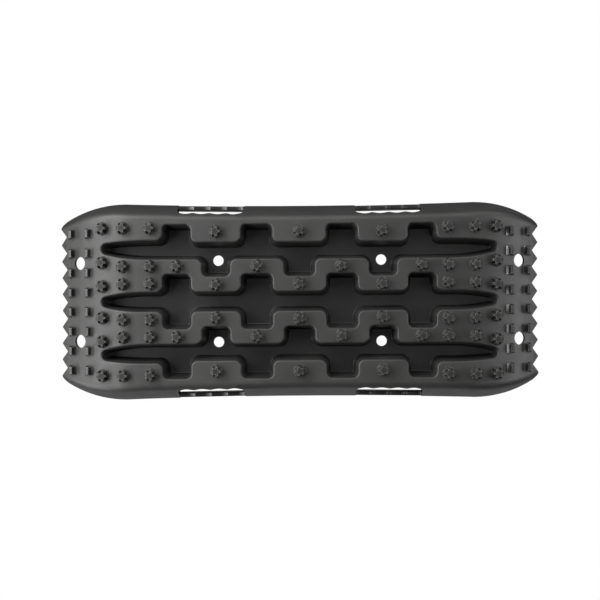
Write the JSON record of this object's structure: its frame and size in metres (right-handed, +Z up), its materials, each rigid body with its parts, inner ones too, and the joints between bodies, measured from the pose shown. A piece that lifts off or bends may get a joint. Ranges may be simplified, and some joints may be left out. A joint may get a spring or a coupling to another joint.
{
  "type": "vehicle recovery traction board",
  "caption": "Moulded traction board for driving a stuck tyre out of snow or sand, with zig-zag channels, cleats, end ramps and hand slots.",
  "frame": {"origin": "on the ground below the board's middle", "axes": "+X along the board's length, +Y across it, +Z up"},
  "size_m": [0.64, 0.2626, 0.0595],
  "materials": {
    "deck_plastic": "black moulded plastic with a fine satin grain",
    "cleat_plastic": "black reinforced plastic, smoother and slightly glossier than the deck",
    "grip_plastic": "black moulded plastic, smooth where fingers rub it"
  },
  "bodies": {
    "root": {"deck": "deck_plastic", "grip_back_left": "grip_plastic", "grip_back_right": "grip_plastic", "grip_front_left": "grip_plastic", "grip_front_right": "grip_plastic", "star_cleats_centre": "cleat_plastic", "star_cleats_left_crest": "cleat_plastic", "star_cleats_left_deck_inner": "cleat_plastic", "star_cleats_left_deck_middle": "cleat_plastic", "star_cleats_left_deck_outer": "cleat_plastic", "star_cleats_left_ramp_inner": "cleat_plastic", "star_cleats_left_ramp_outer": "cleat_plastic", "star_cleats_right_crest": "cleat_plastic", "star_cleats_right_deck_inner": "cleat_plastic", "star_cleats_right_deck_middle": "cleat_plastic", "star_cleats_right_deck_outer": "cleat_plastic", "star_cleats_right_ramp_inner": "cleat_plastic", "star_cleats_right_ramp_outer": "cleat_plastic", "block_cleats_left_inner": "cleat_plastic", "block_cleats_left_outer": "cleat_plastic", "block_cleats_right_inner": "cleat_plastic", "block_cleats_right_outer": "cleat_plastic"}
  },
  "joints": []
}
